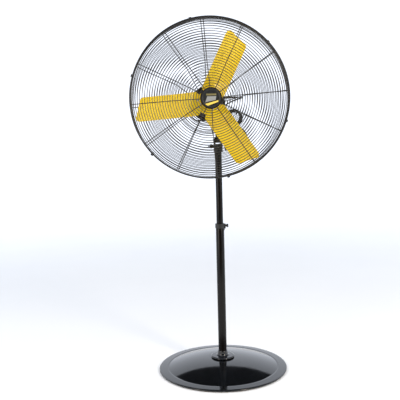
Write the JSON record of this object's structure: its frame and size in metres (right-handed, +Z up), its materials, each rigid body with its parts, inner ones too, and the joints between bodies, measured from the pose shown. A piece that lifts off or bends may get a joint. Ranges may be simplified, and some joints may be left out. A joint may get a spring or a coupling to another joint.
{
  "type": "pedestal fan",
  "caption": "Pedestal fan with a round dished base, telescopic pole, tilting and swivelling head, wire cage and broad yellow blades.",
  "frame": {"origin": "on the floor, on the pole's axis", "axes": "+Z up along the pole; the fan faces and blows towards -Y; +X is to the right of someone looking at its front"},
  "size_m": [0.8132, 0.7, 1.8726],
  "materials": {
    "base_black": "glossy black powder coat on steel",
    "tube_black": "gloss black paint on steel tube",
    "cast_black": "satin black paint on cast metal",
    "wire_black": "satin black coated wire",
    "motor_black": "satin black paint",
    "blade_yellow": "yellow paint on sheet metal",
    "badge_black": "dark satin disc",
    "rubber_black": "matt black",
    "plastic_black": "satin black",
    "nylon_white": "off-white nylon",
    "zinc": "bright zinc plate",
    "steel": "ground steel",
    "iron_grey": "bare cast iron",
    "copper": "enamelled copper windings on a steel core"
  },
  "bodies": {
    "base": {"base_shell": "base_black", "base_ballast": "iron_grey", "base_bottom_plate": "cast_black", "pole_flange": "base_black", "flange_bolt_1": "zinc", "flange_bolt_2": "zinc", "flange_bolt_3": "zinc", "lower_tube": "tube_black", "tube_bushing": "nylon_white", "height_collar": "cast_black"},
    "height_knob": {"height_knob": "plastic_black"},
    "mast": {"upper_tube": "tube_black", "glide_bush": "nylon_white"},
    "neck": {"neck_fork": "cast_black", "retaining_screw": "zinc", "tilt_bolt": "zinc"},
    "swivel_knob": {"swivel_knob": "plastic_black"},
    "tilt_lever": {"tilt_lever": "cast_black"},
    "head": {"tilt_arm": "cast_black", "motor_foot": "motor_black", "foot_bolt_1": "zinc", "foot_bolt_2": "zinc", "motor_shell": "motor_black", "motor_front_bell": "motor_black", "motor_rear_bell": "motor_black", "front_bearing": "steel", "rear_bearing": "steel", "stator": "copper", "guard_screw_1": "zinc", "guard_screw_2": "zinc", "guard_screw_3": "zinc", "switch_box": "plastic_black", "speed_switch": "nylon_white", "capacitor": "zinc", "rear_guard": "wire_black", "front_guard": "wire_black", "badge_plate": "badge_black", "guard_clip_1": "wire_black", "guard_clip_2": "wire_black", "guard_clip_3": "wire_black", "guard_clip_4": "wire_black", "guard_clip_5": "wire_black", "guard_clip_6": "wire_black", "strain_relief": "rubber_black", "power_cord_feed": "rubber_black", "power_cord_tail": "rubber_black", "cord_coil": "rubber_black", "cord_tie": "plastic_black", "plug": "rubber_black"},
    "fan": {"motor_shaft": "steel", "rotor": "steel", "fan_hub": "iron_grey", "hub_screw": "steel", "fan_spider": "blade_yellow", "hub_cap": "zinc", "blade_1": "blade_yellow", "blade_2": "blade_yellow", "blade_3": "blade_yellow"},
    "switch_knob": {"switch_knob": "plastic_black"}
  },
  "joints": [
    {"name": "height_slide", "type": "slide", "parent": "base", "child": "mast", "axis": [0, 0, 1], "range_m": [-0.3, 0.2]},
    {"name": "height_knob_turn", "type": "hinge", "parent": "base", "child": "height_knob", "pos_m": [0, 0, 0.7925], "axis": [1, 0, 0], "range_deg": [0, 720]},
    {"name": "head_swivel", "type": "hinge", "parent": "mast", "child": "neck", "pos_m": [0, 0, 1.188], "axis": [0, 0, 1], "range_deg": [-180, 180]},
    {"name": "swivel_knob_turn", "type": "hinge", "parent": "neck", "child": "swivel_knob", "pos_m": [0, 0, 1.2206], "axis": [-1, 0, 0], "range_deg": [0, 720]},
    {"name": "head_tilt", "type": "hinge", "parent": "neck", "child": "head", "pos_m": [0, 0, 1.252], "axis": [-1, 0, 0], "range_deg": [-10, 35]},
    {"name": "tilt_lever_turn", "type": "hinge", "parent": "neck", "child": "tilt_lever", "pos_m": [0, 0, 1.252], "axis": [1, 0, 0], "range_deg": [0, 90]},
    {"name": "fan_spin", "type": "hinge", "parent": "head", "child": "fan", "pos_m": [-0.051, -0.15, 1.444], "axis": [0, 1, 0], "continuous": true},
    {"name": "switch_knob_turn", "type": "hinge", "parent": "head", "child": "switch_knob", "pos_m": [-0.063, 0.12, 1.407], "axis": [0, 1, 0], "range_deg": [0, 120]}
  ]
}
